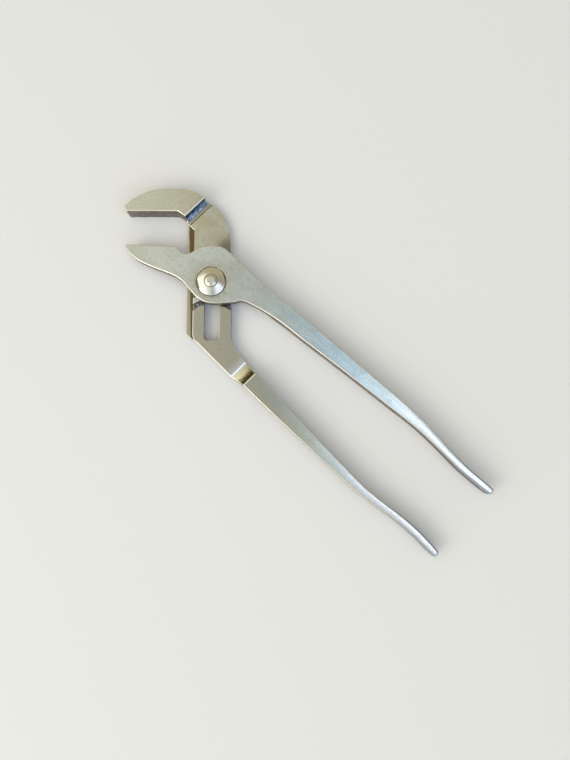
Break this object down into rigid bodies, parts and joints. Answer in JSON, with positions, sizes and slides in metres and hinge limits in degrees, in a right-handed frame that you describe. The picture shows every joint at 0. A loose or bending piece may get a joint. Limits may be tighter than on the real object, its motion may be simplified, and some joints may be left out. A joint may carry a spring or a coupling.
{
  "type": "water pump pliers",
  "caption": "Water pump pliers with smooth jaws, an arc tongue and grooves beside a slot, and a bolt with a flat-sided round nut.",
  "frame": {"origin": "on the pivot bolt's axis, in the plane of the flat back", "axes": "+Z out of the front, along the bolt's axis towards the nut; +Y along the slot towards the fixed jaw; +X from the jaws' side to the handles' side"},
  "size_m": [0.1995, 0.2007, 0.0127],
  "materials": {
    "slotted_steel": "satin ground steel with a warm olive cast, edges polished bright",
    "bolted_steel": "satin ground steel, light grey, finely brushed along the handle",
    "bolt_steel": "peened steel, slightly dulled",
    "nut_steel": "turned steel cone, smooth and bright"
  },
  "bodies": {
    "slotted_half": {"slotted_half": "slotted_steel"},
    "pivot": {"pivot_bolt": "bolt_steel", "pivot_nut": "nut_steel"},
    "bolted_half": {"bolted_half": "bolted_steel"}
  },
  "joints": [
    {"name": "jaw_setting", "type": "slide", "parent": "slotted_half", "child": "pivot", "axis": [0, -1, 0], "range_m": [-0.0138, 0.0276]},
    {"name": "pivot_hinge", "type": "hinge", "parent": "pivot", "child": "bolted_half", "pos_m": [0, 0, 0.005], "axis": [0, 0, 1], "range_deg": [-6, 75]}
  ]
}
